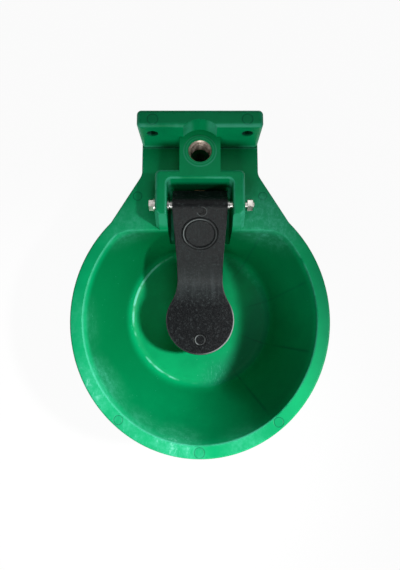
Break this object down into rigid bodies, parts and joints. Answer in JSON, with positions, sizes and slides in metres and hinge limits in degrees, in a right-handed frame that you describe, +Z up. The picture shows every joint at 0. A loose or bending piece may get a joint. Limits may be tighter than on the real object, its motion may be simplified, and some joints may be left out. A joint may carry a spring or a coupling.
{
  "type": "livestock drinking bowl",
  "caption": "Wall-mounted moulded drinking bowl for livestock with a press-down paddle that opens a push-rod water valve and an upright pipe inlet.",
  "frame": {"origin": "middle of the two wall holes, on the flat wall face", "axes": "+Z up, +Y into the wall, +X to the right of someone who faces the wall"},
  "size_m": [0.24, 0.3086, 0.135],
  "materials": {
    "green_moulding": "satin moulded",
    "black_moulding": "satin moulded",
    "brass_insert": "dull machined",
    "brass_plug": "machined",
    "brass_valve": "machined",
    "stainless": "drawn",
    "spring_steel": "drawn wire",
    "bolt_steel": "zinc plated",
    "seal_rubber": "moulded",
    "fibre_seal": "pressed fibre"
  },
  "bodies": {
    "bowl": {"bowl_body": "green_moulding", "inlet_insert": "brass_insert", "port_insert": "brass_insert", "port_plug": "brass_plug", "plug_gasket": "fibre_seal", "valve_body": "brass_valve", "valve_gasket": "fibre_seal", "valve_spring": "spring_steel", "stem_guide": "brass_valve", "hinge_bolt": "bolt_steel", "head_washer": "bolt_steel", "hinge_nut": "bolt_steel", "spacer_washer": "bolt_steel"},
    "paddle": {"paddle": "black_moulding", "pivot_sleeve": "stainless"},
    "valve_stem": {"valve_stem": "stainless", "stem_button": "brass_valve", "seal_disc": "seal_rubber", "seal_plate": "brass_valve", "stem_nut": "brass_valve"}
  },
  "joints": [
    {"name": "paddle_hinge", "type": "hinge", "parent": "bowl", "child": "paddle", "pos_m": [0, -0.0783, -0.0195], "axis": [1, 0, 0], "range_deg": [0, 10]},
    {"name": "valve_push", "type": "slide", "parent": "bowl", "child": "valve_stem", "axis": [0, 1, 0], "range_m": [0, 0.0054], "stiffness_N_per_m": 1200, "springref_m": -0.005, "deforming": ["valve_spring"]}
  ],
  "couplings": [
    {"joint": "valve_push", "follows": "paddle_hinge", "m_per_rad": 0.0301}
  ]
}
